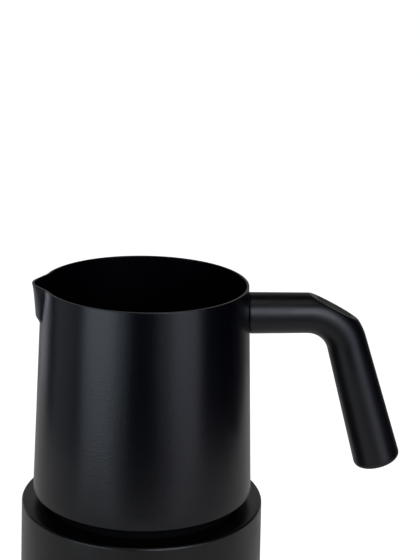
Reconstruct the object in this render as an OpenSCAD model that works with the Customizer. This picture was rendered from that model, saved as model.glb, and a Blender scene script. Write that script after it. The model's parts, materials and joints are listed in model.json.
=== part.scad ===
// Induction milk frother: a round powered base and a lift-off jug with a magnet-driven whisk.
// Frame: +Z up, origin on the table under the axis of the base. The handle points to +X,
// the spout to -X, the button faces -Y and the mains lead enters at +Y. Millimetres.

/* [Base] */
// Height of the base's top rim above the table
base_h = 72; // [70:1:76]
// Outer radius of the base at its top rim
base_r_top = 62; // [61:0.5:64]
// Outer radius of the base at its foot
base_r_foot = 63.2; // [62:0.2:65]
// Wall thickness of the base housing
base_wall = 2.5; // [2:0.1:3]
// Radius of the recess that takes the jug's foot
recess_r = 50.8; // [50.5:0.1:52]
// Depth of that recess, rim to seat plate
recess_depth = 7; // [6:0.5:8]

/* [Jug] */
// Outer radius of the jug at its rim
jug_r_rim = 51.6; // [48:0.2:54]
// Outer radius of the jug at its shoulder
jug_r_shoulder = 56.4; // [55:0.2:58]
// Height of the jug's rim above the base's rim
jug_rise = 114.8; // [100:0.2:125]
// Gap that shows between the jug's shoulder and the base's rim
shadow_gap = 5; // [4:0.2:9]
// Sheet thickness of the steel jug
jug_wall = 1.2; // [1:0.1:1.5]
// Reach of the spout's tip past the rim
spout_reach = 5; // [3:0.5:6]
// Height of the spout
spout_h = 21; // [16:1:28]

/* [Handle] */
// Height of the handle's level arm above the base's rim
arm_rise = 98.9; // [90:0.1:105]
// Radius of the arm where it meets the jug
arm_r_root = 10.5; // [9.5:0.1:11]
// Radius of the arm at the bend
arm_r_bend = 10.3; // [9.8:0.1:10.8]
// Radius of the grip at its free end
grip_r_end = 12.1; // [11:0.1:12.5]
// Distance from the axis to the middle of the bend
bend_x = 81.8; // [78:0.2:90]
// Radius of the bend's centreline
bend_r = 22.4; // [18:0.2:24]
// Lean of the grip from the vertical
grip_lean = 16.9; // [10:0.1:22]
// Length of the straight grip below the bend
grip_len = 68; // [55:1:75]
// Tilt of the flat thumb rest from the level
thumb_tilt = 28; // [27.8:0.2:29]
// Distance of the thumb rest from the middle of the bend
thumb_reach = 29.2; // [29.1:0.1:29.4]

/* [Whisk and drive] */
// Radius of the spindle that carries the whisk
spindle_r = 1.5; // [1.2:0.1:1.8]
// Radius of the whisk's coil ring, to the middle of its turns
ring_r = 17; // [16.5:0.5:20]
// Radius of the motor
motor_r = 12; // [11:0.5:13]
// Number of magnets on each side of the coupling
magnet_count = 4; // [2:2:6]

/* [Controls] */
// Radius of the push button
button_r = 8.4; // [7.5:0.1:9]
// Height of the button above the table
button_z = 34; // [32:1:36]
// Travel of the button
button_travel = 1.2; // [0.8:0.1:1.3]
// Number of programme lights
light_count = 4; // [2:1:5]

/* [Hidden] */
$fn = 96;
eps = 0.01;
fit_gap = 0.05;   // running clearance on a radius
hull_fn = 32;

// Levels of the base, from the table up
skirt_z = 2;                          // lower edge of the housing
plate_z = 3;                          // underside of the bottom plate
plate_t = 2.5;
floor_z = plate_z + plate_t;          // inner face of the bottom plate
seat_z = base_h - recess_depth;       // top of the seat plate
seat_t = 1.6;
gasket_t = 0.6;
lip_top = seat_z - seat_t - gasket_t; // ledge that carries the gasket
lip_t = 2;
lip_z = lip_top - lip_t;
lip_r = 46;
top_t = 2.6;                          // thickness of the rim's flat top
edge_r = 1.2;                         // outer edge of the rim
mouth_r = 0.8;                        // inner edge of the rim
foot_r_in = 43;                       // the rubber ring the base stands on
foot_r_out = 48.6;
vent_pitch = 4.6;
vent_r = 1.4;

// Screws and the holes for them
through = 1;                          // how far a cutting tool passes beyond a face
case_screw_r = 1.28;
case_screw_head_r = 2.8;
board_screw_r = 1.18;
board_screw_head_r = 2.6;
board_screw_head_t = 1.4;
board_tap_r = 1.2;
clear_r = 1.6;
control_screw_r = 0.98;
control_tap_r = 1;

// Screw columns of the housing
column_r = 3.8;
column_pcr = 53;
column_angles = [45, 135, 225, 315];
pilot_r = 1.3;
pilot_depth = 16;

// Coil and carrier under the seat plate
coil_r_in = 24;
coil_r_out = 43.5;
coil_t = 3.4;
coil_top = seat_z - seat_t - 0.2;
coil_z = coil_top - coil_t;
carrier_t = 3;
carrier_z = coil_z - 2.8 - carrier_t;
carrier_r = 47.5;
carrier_hole_r = 18;
ear_r = 4;
ear_pcr = 51.5;
ear_angles = [0, 120, 240];
boss_r = 3.2;
bar_w = 6;                            // ferrite bars
bar_t = 2.4;
bar_len = coil_r_out - coil_r_in - 3.5;
bar_start = coil_r_in + 2;
bar_angles = [for (i = [1:6]) 60 * i];
turn_pitch = 2.1;
sensor_r = 1.8;
sensor_x = 21;
sensor_depth = 2;

// Motor and magnet coupling
bracket_t = 1.5;
bracket_r = 17;
bracket_ear_r = 3.5;
bracket_pcr = 21.5;
bracket_angles = [30, 210];
bracket_screw_r = 1.08;
motor_top = carrier_z - bracket_t;
motor_h = 26;
motor_z = motor_top - motor_h;
motor_cap_t = 3;
motor_boss_r = 3.5;
motor_screw_r = 1.18;
motor_screw_pcr = 8;
motor_screw_angles = [0, 180];
shaft_r = 1;
rotor_r = 16;
rotor_t = 5.8;
rotor_top = seat_z - seat_t - 0.8;
magnet_r = 3;
magnet_t = 3;
magnet_inset = 0.2;                   // how far the drive magnets sit below the carrier's top
drive_pcr = 10.5;

// Circuit boards and fan
board_t = 1.6;
board_z = 16;
board_r = 47;
board_top = board_z + board_t;
board_left = -7;
board_holes = [[0, 40], [0, -40], [42, 0]];
fan_x = -29;
fan_w = 40;
fan_t = 10;
fan_z = 7;
fan_bore = 18.6;
fan_hub_r = 8;
fan_screw_pitch = 32;
fan_blades = 7;
post_r = 3;

// Button and control board
front_y = -base_r_foot + 0.35;        // housing surface at the button's height, near enough
control_w = 34;
control_h = 32;
control_z = 22;
control_y = -54.4;                    // front face of the control board
control_inset = 3;                    // from its screw holes to its edges
button_gap = 0.2;
switch_t = 3;
switch_w = 8;
switch_front = control_y - switch_t;
plunger_r = 1.75;
stem_end = switch_front - button_travel - 0.1;
ring_wall = 0.8;
ring_hole = button_r + button_gap + ring_wall + 0.1;
light_z = 50;
light_pin_r = 1.2;
light_pitch = 7.4;                    // degrees between the programme lights

// Mains inlet
gland_z = 13;
gland_r = 5.5;
gland_bore = 3.4;
gland_flange_r = 7;
gland_seat_y = 62.1;

// Levels of the jug
rim_z = base_h + jug_rise;
shoulder_z = base_h + shadow_gap;
shoulder_round = 2;
pot_r = 48.3;                         // stepped-in lower part that enters the recess
pot_corner = 3;
foot_z = seat_z + 0.05;
foot_r = recess_r - 0.5;
foot_lip_r = 44;
disc_t = 1.95;
pot_z = foot_z + disc_t + 0.1;        // underside of the pot's floor
floor_in = pot_z + jug_wall;          // inside floor of the jug
disc_r_in = 16;

// Handle
arm_z = base_h + arm_rise;
bend_z = arm_z - bend_r;
seam_gap = 0.3;                       // clear space between the grip's end and the jug's wall
seam_x = jug_r(arm_z) + seam_gap;     // the middle of the grip's end
stub_x = seam_x + 2;                  // the stub's flange ends inside the grip
stub_r = 8;
core_wall = 2.6;                      // wall of the hollow grip
plug_t = 5;
plug_r = grip_r_end - core_wall;
spigot_r = 4.2;                       // the stub's threaded spigot inside the arm
spigot_len = 12;
screw_r = 1.5;
screw_head_r = 2.5;
screw_head_x = stub_x + spigot_len + 3;
handle_screw_z = arm_z + 2.8;
rest_mid = 0.5;                       // thumb rest: its middle, along the flat
rest_w = 5;                           // half its width
rest_len = 9.8;                       // and half its length
rest_corner = 3;
rest_t = 1.6;

// Whisk
spindle_top = floor_in + 15.7;
flange_t = 0.8;
bush_z = floor_in + flange_t + fit_gap;
bush_r = 3;
bush_top = spindle_top + 2;
bead_r = 0.4;
bead_z = bush_z + 11;
hub_z = bush_z + 1.6;
hub_h = 6.6;
hub_r = 16.2;
coil_wire_r = 2.4;                    // half the thickness of the coil ring
grip_top = floor_in + 30;
whisk_pcr = 9.2;

function arc(c, r, from, to, steps = 6) =
    [for (i = [0:steps]) let (a = from + (to - from) * i / steps) c + r * [cos(a), sin(a)]];

function jug_r(z) =
    jug_r_rim + (jug_r_shoulder - jug_r_rim) * (rim_z - z) / (rim_z - shoulder_z);

function base_r(z) =
    base_r_foot + (base_r_top - base_r_foot) * (z - skirt_z) / (base_h - skirt_z);

module ring(r_in, r_out, z, h) {
    translate([0, 0, z]) difference() {
        cylinder(r = r_out, h = h);
        translate([0, 0, -eps]) cylinder(r = r_in, h = h + 2 * eps);
    }
}

module spread(angles, radius) {
    for (a = angles) rotate([0, 0, a]) translate([radius, 0, 0]) children();
}

module along_x() { rotate([0, 90, 0]) children(); }

// Local +Z becomes -Y: for what sits in the front wall
module to_front() { rotate([90, 0, 0]) children(); }

// A pan-head screw, head down, shank up from z = 0
module screw(r, length, head_r, head_t) {
    cylinder(r = r, h = length);
    translate([0, 0, -head_t]) difference() {
        cylinder(r = head_r, h = head_t);
        translate([0, 0, -eps]) cylinder(r = head_r * 0.45, h = head_t * 0.5, $fn = 6);
    }
}

// ---------- Base housing ----------

module housing_profile() {
    inner_top = base_h - top_t;
    polygon(concat(
        [[base_r_foot, skirt_z]],
        arc([base_r_top - edge_r, base_h - edge_r], edge_r, 0, 90),
        arc([recess_r + mouth_r, base_h - mouth_r], mouth_r, 90, 180),
        [
            [recess_r, lip_top], [lip_r, lip_top], [lip_r, lip_z],
            [recess_r + base_wall, lip_z], [recess_r + base_wall, inner_top],
            [base_r(inner_top) - base_wall, inner_top], [base_r_foot - base_wall, skirt_z]
        ]));
}

// A screw column with a rib that joins it to the housing
module screw_column() {
    rib_w = 2.4;
    reach = base_r_foot - base_wall - column_pcr + 0.7;
    from = floor_z + 0.1;
    column_h = lip_z + 0.5 - from;
    translate([0, 0, from]) cylinder(r = column_r, h = column_h);
    translate([0, -rib_w / 2, from]) cube([reach, rib_w, column_h]);
}

module base_shell() {
    boss_h = lip_z - carrier_z - carrier_t;
    color("#1c1d20") difference() {
        union() {
            rotate_extrude() housing_profile();
            spread(column_angles, column_pcr) screw_column();
            spread(ear_angles, ear_pcr)
                translate([0, 0, lip_z - boss_h]) cylinder(r = boss_r, h = boss_h + 0.5);
            control_posts();
        }
        spread(column_angles, column_pcr)
            translate([0, 0, floor_z]) cylinder(r = pilot_r, h = pilot_depth);
        spread(ear_angles, ear_pcr)
            translate([0, 0, lip_z - boss_h - eps]) cylinder(r = pilot_r, h = 4);
        translate([0, 0, button_z]) to_front()
            translate([0, 0, 50]) cylinder(r = ring_hole, h = 20);
        light_positions() translate([0, 0, 55]) cylinder(r = light_pin_r + 0.02, h = 12);
        gland_cut();
        control_pilots();
    }
}

module control_posts() {
    for (x = [-1, 1], z = [-1, 1]) control_at(x, z)
        translate([0, 0, -control_y]) cylinder(r = 2.4, h = 5.6);
}

module control_pilots() {
    for (x = [-1, 1], z = [-1, 1]) control_at(x, z)
        translate([0, 0, -control_y - eps]) cylinder(r = control_tap_r, h = 4);
}

// The four corners where the control board is screwed down
module control_at(x, z) {
    across = x * (control_w / 2 - control_inset);
    up = control_z + control_h / 2 + z * (control_h / 2 - control_inset);
    translate([across, 0, up]) to_front() children();
}

module light_positions() {
    first = -light_pitch * (light_count - 1) / 2;
    for (i = [0:light_count - 1])
        translate([0, 0, light_z]) rotate([0, 0, first + i * light_pitch]) to_front() children();
}

module gland_cut() {
    translate([0, 50, gland_z]) rotate([-90, 0, 0]) cylinder(r = gland_r + 0.1, h = 20);
    translate([0, gland_seat_y, gland_z]) rotate([-90, 0, 0])
        cylinder(r = gland_flange_r + 0.1, h = 5);
}

module bottom_plate() {
    color("#222326") difference() {
        union() {
            translate([0, 0, plate_z]) cylinder(r = base_r_foot - base_wall - 0.4, h = plate_t);
            board_posts();
            fan_posts();
        }
        ring(foot_r_in - 0.1, foot_r_out + 0.1, plate_z - eps, 1 + eps);
        spread(column_angles, column_pcr) {
            translate([0, 0, plate_z - through]) cylinder(r = clear_r, h = plate_t + 2 * through);
            translate([0, 0, plate_z - through]) cylinder(r = case_screw_head_r + 0.4, h = 1.2 + through);
        }
        for (i = [-2:2]) vent_slot(fan_x + i * vent_pitch, 22 - 3 * abs(i));
        board_pilots();
        fan_pilots();
    }
}

module vent_slot(x, length) {
    cut_h = plate_t + 2 * through;
    translate([x, 0, plate_z - through]) {
        for (s = [-1, 1]) translate([0, s * length / 2, 0]) cylinder(r = vent_r, h = cut_h);
        translate([-vent_r, -length / 2, 0]) cube([2 * vent_r, length, cut_h]);
    }
}

module foot_ring() {
    color("#2b2b2d") rotate_extrude() polygon(concat(
        [[foot_r_in + 0.5, 0], [foot_r_out - 0.5, 0]],
        [[foot_r_out, 0.5], [foot_r_out, plate_z + 1], [foot_r_in, plate_z + 1], [foot_r_in, 0.5]]));
}

module bottom_screws() {
    color("silver") spread(column_angles, column_pcr)
        translate([0, 0, plate_z + 1.2]) screw(case_screw_r, 12, case_screw_head_r, 1.1);
}

// ---------- Seat, coil and sensor ----------

module seat_plate() {
    color("#0b0c0e") translate([0, 0, seat_z - seat_t]) cylinder(r = recess_r - 0.2, h = seat_t);
}

module seat_gasket() { color("#3a3a3c") ring(lip_r + 0.8, recess_r - 0.6, lip_top, gasket_t); }

module coil_carrier() {
    color("#d8d2c4") difference() {
        union() {
            translate([0, 0, carrier_z]) cylinder(r = carrier_r, h = carrier_t);
            translate([0, 0, carrier_z]) cylinder(r = coil_r_out, h = coil_z - carrier_z);
            spread(ear_angles, ear_pcr) {
                translate([0, 0, carrier_z]) cylinder(r = ear_r, h = carrier_t);
                translate([-8, -ear_r, carrier_z]) cube([8, 2 * ear_r, carrier_t]);
            }
        }
        translate([0, 0, carrier_z - through]) {
            cylinder(r = carrier_hole_r, h = coil_z - carrier_z + 2 * through);
            spread(ear_angles, ear_pcr) cylinder(r = clear_r, h = carrier_t + 2 * through);
        }
        ferrite_blanks(0.1);
        spread(bracket_angles, bracket_pcr)
            translate([0, 0, carrier_z - eps]) cylinder(r = bracket_screw_r + 0.02, h = 4.5);
        translate([sensor_x, 0, coil_z - sensor_depth])
            cylinder(r = sensor_r + fit_gap, h = sensor_depth + through);
    }
}

module ferrite_blanks(gap) {
    for (a = bar_angles) rotate([0, 0, a])
        translate([bar_start - gap, -bar_w / 2 - gap, coil_z - bar_t])
            cube([bar_len + 2 * gap, bar_w + 2 * gap, bar_t + gap]);
}

module ferrite_bars() {
    color("#3b3d42") for (a = bar_angles) rotate([0, 0, a])
        translate([bar_start, -bar_w / 2, coil_z - bar_t]) cube([bar_len, bar_w, bar_t - fit_gap]);
}

module carrier_screws() {
    color("silver") spread(ear_angles, ear_pcr)
        translate([0, 0, carrier_z]) screw(case_screw_r, 6.5, case_screw_head_r, 1.6);
}

module induction_coil() {
    turns = floor((coil_r_out - coil_r_in) / turn_pitch);
    color("#b5602c") rotate_extrude() {
        for (i = [0:turns - 1])
            translate([coil_r_in + turn_pitch * (i + 0.5), coil_z + coil_t / 2])
                circle(r = turn_pitch / 2 - 0.02, $fn = 24);
        translate([coil_r_in + 0.6, coil_z + 0.1])
            square([turns * turn_pitch - 1.2, 1.6]);
    }
}

module temperature_sensor() {
    from = coil_z - sensor_depth + 0.1;
    color("#e8e4da") translate([sensor_x, 0, from]) cylinder(r = sensor_r, h = coil_top - from);
}

// ---------- Motor and magnet coupling ----------

module motor_bracket() {
    sheet_t = bracket_t - fit_gap;
    cut_h = bracket_t + 2 * through;
    color("#9aa0a6") translate([0, 0, carrier_z - bracket_t]) difference() {
        union() {
            cylinder(r = bracket_r, h = sheet_t);
            spread(bracket_angles, bracket_pcr) {
                cylinder(r = bracket_ear_r, h = sheet_t);
                translate([-8, -bracket_ear_r, 0]) cube([8, 2 * bracket_ear_r, sheet_t]);
            }
        }
        translate([0, 0, -through]) {
            cylinder(r = motor_boss_r + 0.1, h = cut_h);
            spread(motor_screw_angles, motor_screw_pcr) cylinder(r = motor_screw_r + 0.17, h = cut_h);
            spread(bracket_angles, bracket_pcr) cylinder(r = bracket_screw_r + 0.22, h = cut_h);
        }
    }
}

module bracket_screws() {
    color("silver") spread(bracket_angles, bracket_pcr)
        translate([0, 0, carrier_z - bracket_t]) screw(bracket_screw_r, 5, 2.2, 1.3);
}

module motor_can() {
    color("#a9adb3") difference() {
        union() {
            translate([0, 0, motor_z + motor_cap_t]) cylinder(r = motor_r, h = motor_h - motor_cap_t);
            translate([0, 0, motor_top - eps]) cylinder(r = motor_boss_r, h = 1.2);
        }
        translate([0, 0, motor_z + motor_cap_t - through])
            cylinder(r = motor_r - 1, h = motor_h - motor_cap_t);
        translate([0, 0, motor_top - 2]) {
            cylinder(r = shaft_r + fit_gap, h = 5);
            spread(motor_screw_angles, motor_screw_pcr) cylinder(r = motor_screw_r + 0.02, h = 3);
        }
    }
}

module motor_end_cap() {
    tab_t = 0.8;
    color("#e2e0da") difference() {
        union() {
            translate([0, 0, motor_z]) cylinder(r = motor_r, h = motor_cap_t);
            translate([0, 0, motor_z + 2]) cylinder(r = motor_r - 1.1, h = 4);
            for (s = [-1, 1]) translate([s * 7 - tab_t / 2, -1.5, motor_z - 3]) cube([tab_t, 3, 3.5]);
        }
        translate([0, 0, motor_z + 1]) cylinder(r = shaft_r + fit_gap, h = 6);
    }
}

module motor_screws() {
    color("silver") spread(motor_screw_angles, motor_screw_pcr)
        translate([0, 0, carrier_z - fit_gap]) mirror([0, 0, 1]) screw(motor_screw_r, 3, 2, 1);
}

module motor_shaft() {
    shaft_z = motor_z + 1.2;
    color("#c9ccd1") {
        translate([0, 0, shaft_z]) cylinder(r = shaft_r, h = rotor_top - 1.5 - shaft_z);
        translate([0, 0, motor_z + 6.5]) cylinder(r = 8.2, h = 13);   // the motor's wound rotor
    }
}

module magnet_carrier() {
    color("#e6e3dc") translate([0, 0, rotor_top - rotor_t]) difference() {
        cylinder(r = rotor_r, h = rotor_t);
        translate([0, 0, -through]) cylinder(r = shaft_r + 0.01, h = rotor_t - 1.2 + through);
        magnet_spread(drive_pcr) translate([0, 0, rotor_t - magnet_t - magnet_inset])
            cylinder(r = magnet_r + 0.02, h = magnet_t + through);
    }
}

module magnet_spread(pcr) {
    spread([for (i = [0:magnet_count - 1]) 360 / magnet_count * i + 45], pcr) children();
}

module drive_magnets() {
    color("#c4c8cc") magnet_spread(drive_pcr)
        translate([0, 0, rotor_top - magnet_t - magnet_inset]) cylinder(r = magnet_r, h = magnet_t);
}

// ---------- Fan ----------

module fan_corners() {
    for (x = [-1, 1], y = [-1, 1])
        translate([fan_x + x * fan_screw_pitch / 2, y * fan_screw_pitch / 2, 0]) children();
}

module fan_posts() {
    fan_corners() translate([0, 0, floor_z - eps]) cylinder(r = post_r, h = fan_z - floor_z);
}

module fan_pilots() { fan_corners() translate([0, 0, plate_z + 0.8]) cylinder(r = board_tap_r, h = 5); }

module fan_frame() {
    pin_r = 1;
    spoke_w = 2;
    spoke_t = 1.2;
    half = fan_screw_pitch / 2;
    color("#17181a") translate([fan_x, 0, fan_z]) difference() {
        union() {
            difference() {
                translate([-fan_w / 2, -fan_w / 2, 0]) cube([fan_w, fan_w, fan_t]);
                translate([0, 0, -through]) cylinder(r = fan_bore, h = fan_t + 2 * through);
            }
            cylinder(r = fan_hub_r, h = spoke_t);
            for (a = [0:120:240]) rotate([0, 0, a])
                translate([0, -spoke_w / 2, 0]) cube([fan_bore + 0.5, spoke_w, spoke_t]);
            cylinder(r = pin_r, h = 6);
        }
        for (x = [-half, half], y = [-half, half])
            translate([x, y, -through]) cylinder(r = clear_r, h = fan_t + 2 * through);
    }
}

module fan_blade() {
    blade_t = 1;
    translate([0, 0, 3.8]) rotate([38, 0, 0]) translate([5, -blade_t / 2, -8]) cube([15, blade_t, 16]);
}

module fan_rotor() {
    pin_hole_r = 1 + fit_gap;
    color("#202124") translate([fan_x, 0, fan_z + 1.6]) difference() {
        union() {
            cylinder(r = fan_hub_r, h = 7.6);
            intersection() {
                ring(fan_hub_r - 0.5, fan_bore - 0.6, 0.4, 6.8);
                for (i = [1:fan_blades]) rotate([0, 0, 360 / fan_blades * i]) fan_blade();
            }
        }
        translate([0, 0, -through]) {
            cylinder(r = pin_hole_r, h = 6);
            cylinder(r = pin_hole_r + 0.35, h = 1.6);
        }
    }
}

module fan_screws() {
    color("silver") fan_corners() translate([0, 0, fan_z + fan_t]) mirror([0, 0, 1])
        screw(board_screw_r, 12.5, board_screw_head_r, board_screw_head_t);
}

// ---------- Power board ----------

module board_posts() {
    for (p = board_holes) translate([p.x, p.y, floor_z - eps]) cylinder(r = post_r, h = board_z - floor_z);
}

module board_pilots() {
    for (p = board_holes) translate([p.x, p.y, board_z - 8]) cylinder(r = board_tap_r, h = 8 + through);
}

module main_board() {
    color("#1f6b3a") translate([0, 0, board_z]) difference() {
        intersection() {
            cylinder(r = board_r, h = board_t);
            translate([board_left, -board_r, -through])
                cube([2 * board_r, 2 * board_r, board_t + 2 * through]);
        }
        for (p = board_holes)
            translate([p.x, p.y, -through]) cylinder(r = clear_r, h = board_t + 2 * through);
    }
}

module board_screws() {
    color("silver") for (p = board_holes)
        translate([p.x, p.y, board_top]) mirror([0, 0, 1])
            screw(board_screw_r, 8, board_screw_head_r, board_screw_head_t);
}

module heat_sink() {
    back_t = 4;
    fin_t = 1.6;
    fin_pitch = 6.6;
    sink_h = 24;
    color("#b4b8bd") translate([16, -14, board_top]) {
        cube([back_t, 4 * fin_pitch + fin_t, sink_h]);
        for (i = [0:4]) translate([back_t - 0.5, i * fin_pitch, 0]) cube([14, fin_t, sink_h]);
    }
}

module power_transistor() {
    body_w = 16;
    leg_w = 1.2;
    color("#151517") translate([12.6, -body_w / 2, board_top]) {
        translate([0, 0, 4]) cube([3.4, body_w, 16]);
        for (i = [-1, 0, 1]) translate([1, (body_w - leg_w) / 2 + i * 5, 0]) cube([0.8, leg_w, 4.5]);
    }
}

module resonance_capacitor() { color("#2f62a8") translate([12, 18, board_top]) cube([24, 11, 18]); }

module filter_capacitors() {
    color("#23252b") for (x = [16, 29]) translate([x, -24, board_top]) cylinder(r = 6, h = 17);
}

module mains_choke() {
    color("#8a4a22") translate([2, -24, board_top + 6]) rotate([0, 90, 0])
        rotate_extrude() translate([4.2, 0]) circle(r = 1.75, $fn = 32);
}

module terminal_block() {
    color("#3a9a5a") translate([12, 32, board_top]) difference() {
        cube([18, 8, 9]);
        for (i = [0:2]) translate([3.5 + 5.5 * i, 4, 5]) cylinder(r = 1.8, h = 5);
    }
}

// ---------- Controls ----------

module control_board() {
    color("#1f6b3a") difference() {
        translate([-control_w / 2, control_y, control_z]) cube([control_w, board_t, control_h]);
        for (x = [-1, 1], z = [-1, 1]) control_at(x, z)
            translate([0, 0, -control_y - board_t - through])
                cylinder(r = control_screw_r + 0.22, h = board_t + 2 * through);
    }
}

module control_screws() {
    color("silver") for (x = [-1, 1], z = [-1, 1]) control_at(x, z)
        translate([0, 0, -control_y - board_t]) screw(control_screw_r, 5, 2, 1.2);
}

module switch_body() {
    color("#26272a") difference() {
        translate([-switch_w / 2, switch_front, button_z - switch_w / 2])
            cube([switch_w, switch_t - 0.02, switch_w]);
        translate([0, 0, button_z]) to_front()
            translate([0, 0, -switch_front - 2.8]) cylinder(r = plunger_r + fit_gap, h = 5);
    }
}

module switch_plunger() {
    color("#d9d6cf") translate([0, 0, button_z]) to_front()
        translate([0, 0, -switch_front - 1.4]) cylinder(r = plunger_r, h = 1.4 + button_travel + 0.1);
}

module button_cap() {
    face_y = front_y - 0.75;
    color("#26282c") translate([0, 0, button_z]) to_front() {
        rotate_extrude() polygon([
            [0, -stem_end], [2.2, -stem_end], [2.2, -face_y - 2], [button_r - 1.2, -face_y - 2],
            [button_r - 1.2, -face_y - 3.6], [button_r, -face_y - 3.6], [button_r, -face_y - 0.5],
            [button_r - 0.5, -face_y], [0, -face_y]]);
    }
}

module light_ring() {
    r_in = button_r + button_gap;
    r_out = r_in + ring_wall;
    lip_y = 58.8;
    color("#e9eef2") translate([0, 0, button_z]) to_front()
        rotate_extrude() polygon([
            [r_in, lip_y - 1], [r_out + 1.6, lip_y - 1], [r_out + 1.6, lip_y], [r_out, lip_y],
            [r_out, -front_y + 0.1], [r_out - 0.3, -front_y + 0.4], [r_in, -front_y + 0.4]]);
}

module light_guides() {
    color("#e9eef2") light_positions()
        translate([0, 0, base_r(light_z) - 5]) cylinder(r = light_pin_r, h = 5.1);
}

// ---------- Mains inlet ----------

module cord_gland() {
    color("#1a1b1d") translate([0, 0, gland_z]) rotate([-90, 0, 0]) difference() {
        union() {
            translate([0, 0, 56.5]) cylinder(r = gland_r, h = 7);
            rotate_extrude() polygon([
                [0, gland_seat_y], [gland_flange_r, gland_seat_y], [gland_flange_r, gland_seat_y + 2],
                [gland_r - 0.5, gland_seat_y + 4], [0, gland_seat_y + 4]]);
        }
        translate([0, 0, 50]) cylinder(r = gland_bore, h = 20);
    }
}

module gland_nut() {
    color("#1a1b1d") translate([0, 57, gland_z]) rotate([-90, 0, 0]) difference() {
        cylinder(r = 7.2, h = 2.4, $fn = 6);
        translate([0, 0, -1]) cylinder(r = gland_r + 0.02, h = 5);
    }
}

// ---------- Jug ----------

module jug_profile(inset) {
    w = inset;
    r = shoulder_round - w / 2;
    lean = (jug_r_shoulder - jug_r_rim) / (rim_z - shoulder_z);
    top = w > 0 ? rim_z + 1 : rim_z;
    polygon(concat(
        [[0, top], [jug_r_rim - w - lean * (top - rim_z), top]],
        [[jug_r(shoulder_z + shoulder_round) - w, shoulder_z + shoulder_round]],
        arc([jug_r_shoulder - shoulder_round - w / 2, shoulder_z + shoulder_round], r, 0, -90),
        [[pot_r - w, shoulder_z + w]],
        arc([pot_r - pot_corner, pot_z + pot_corner], pot_corner - w, 0, -90),
        [[0, pot_z + w]]));
}

// One level slice of the spout: its nose and the two lines where its flanks leave the wall
module spout_slice(z, nose_x, nose_r, half_angle, wall_x, h) {
    translate([0, 0, z]) linear_extrude(h) {
        translate([-(nose_x - nose_r), 0]) circle(r = nose_r, $fn = hull_fn);
        for (s = [-1, 1]) rotate(s * half_angle) translate([-wall_x, 0]) circle(r = 0.4, $fn = 12);
    }
}

// The pressed spout: a wedge that runs out in the wall below it
module spout_wedge(inset) {
    top = inset > 0 ? 1 : 0;
    knee_z = rim_z - 0.7 * spout_h;
    toe_z = rim_z - spout_h + inset;
    back = inset + 0.5;
    hull() {
        spout_slice(rim_z - 0.2, jug_r_rim + spout_reach - inset, 5 - inset, 28,
            jug_r_rim - back, 0.2 + top);
        spout_slice(knee_z, jug_r(knee_z) + 0.38 * spout_reach - inset, 3.6 - inset, 15,
            jug_r(knee_z) - back, 0.2);
        spout_slice(toe_z, jug_r(toe_z) - inset - 0.3, 2, 3, jug_r(toe_z) - back, 0.2);
    }
}

module jug_body() {
    color("#17181a") difference() {
        union() {
            rotate_extrude() jug_profile(0);
            spout_wedge(0);
        }
        rotate_extrude() jug_profile(jug_wall);
        spout_wedge(jug_wall);
    }
}

module jug_foot() {
    color("#1b1c1e") rotate_extrude() polygon([
        [foot_lip_r, foot_z], [foot_r - 0.6, foot_z], [foot_r, foot_z + 0.6], [foot_r, shoulder_z],
        [pot_r + 0.02, shoulder_z], [pot_r + 0.02, pot_z], [foot_lip_r, pot_z]]);
}

module induction_disc() { color("#b9bcc0") ring(disc_r_in, foot_lip_r - 0.1, foot_z + 0.1, disc_t); }

module whisk_spindle() {
    color("#c9ccd1") rotate_extrude() polygon(concat(
        [[0, floor_in], [4, floor_in], [4, floor_in + flange_t], [spindle_r, floor_in + flange_t]],
        arc([spindle_r - 0.8, spindle_top - 0.8], 0.8, 0, 90),
        [[0, spindle_top]]));
}

// ---------- Handle ----------

// Local +Z runs down the grip from the end of the bend
module grip_frame() {
    translate([bend_x + bend_r * cos(grip_lean), 0, bend_z + bend_r * sin(grip_lean)])
        rotate([0, 180 - grip_lean, 0]) children();
}

// Local +Z stands square on the thumb rest's flat, which is at z = 0
module thumb_frame() {
    translate([bend_x, 0, bend_z]) rotate([0, thumb_tilt, 0]) translate([0, 0, thumb_reach]) children();
}

// A slab with round corners that lies along the flat
module thumb_outline(gap, z, h) {
    l = rest_len - rest_corner;
    w = rest_w - rest_corner;
    thumb_frame() translate([rest_mid, 0, z]) linear_extrude(h) {
        square([2 * l, 2 * (rest_w - gap)], center = true);
        square([2 * (rest_len - gap), 2 * w], center = true);
        for (x = [-l, l], y = [-w, w]) translate([x, y]) circle(r = rest_corner - gap);
    }
}

// All that is cut away above the flat
module thumb_cut() {
    thumb_frame() translate([-40, -15, 0]) cube([65, 30, 20]);
}

// A round bar along the handle screw's axis
module screw_bar(r, from, to) {
    translate([from, 0, handle_screw_z]) along_x() cylinder(r = r, h = to - from);
}

module handle_stub() {
    color("#17181a") difference() {
        union() {
            translate([jug_r_rim - 6, 0, arm_z]) along_x()
                cylinder(r = stub_r, h = stub_x - jug_r_rim + 6);
            screw_bar(spigot_r, jug_r_rim - 6, stub_x + spigot_len);
        }
        translate([0, 0, arm_z - 20])
            cylinder(r1 = jug_r(arm_z - 20), r2 = jug_r(arm_z + 14), h = 34, $fn = 360);
        screw_bar(screw_r, stub_x + 1, stub_x + spigot_len + 1);
    }
}

module handle_screw() {
    color("silver") difference() {
        union() {
            screw_bar(screw_r, stub_x + 2, screw_head_x);
            screw_bar(screw_head_r, screw_head_x, screw_head_x + 3);
        }
        translate([screw_head_x + 1.2, 0, handle_screw_z]) along_x() cylinder(r = 1.6, h = 3, $fn = 6);
    }
}

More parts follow.
